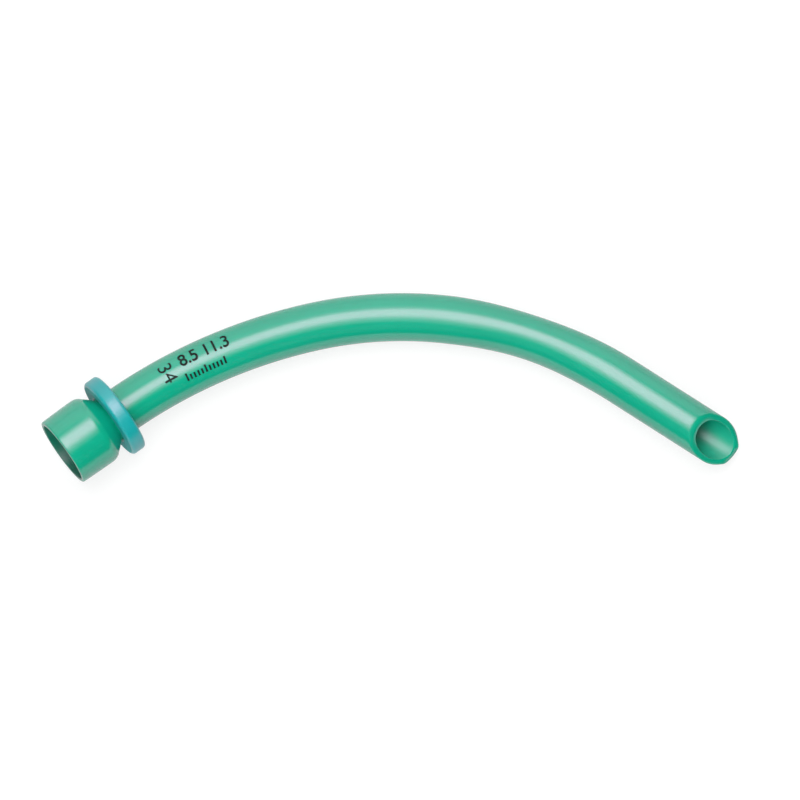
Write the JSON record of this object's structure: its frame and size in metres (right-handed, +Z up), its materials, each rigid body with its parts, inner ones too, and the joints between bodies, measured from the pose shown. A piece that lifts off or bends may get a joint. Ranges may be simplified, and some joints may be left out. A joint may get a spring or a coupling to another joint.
{
  "type": "nasopharyngeal airway",
  "caption": "Soft curved nasal airway tube with a flared connector socket, a bevelled rounded tip and a separate rounded flange ring that slides along its bend.",
  "frame": {"origin": "centre of the bounding box at its base, on the table the airway lies on", "axes": "+X along the length from the connector end to the bevelled tip, +Y towards the outer side of the bend, +Z up from the table"},
  "size_m": [0.1634, 0.045, 0.0203],
  "materials": {
    "soft_green_tube": "soft satin sheen, slightly translucent moulded vinyl",
    "teal_flange": "soft satin sheen, opaque moulded vinyl"
  },
  "bodies": {
    "airway": {"connector": "soft_green_tube", "gentle_bend": "soft_green_tube", "tight_bend": "soft_green_tube", "bevelled_tip": "soft_green_tube"},
    "flange": {"flange_ring": "teal_flange"}
  },
  "joints": [
    {"name": "flange_slide", "type": "hinge", "parent": "airway", "child": "flange", "pos_m": [0.01036, -0.10615, 0.02336], "axis": [-0.0144, -0.1423, -0.9897], "range_deg": [0, 22]}
  ]
}
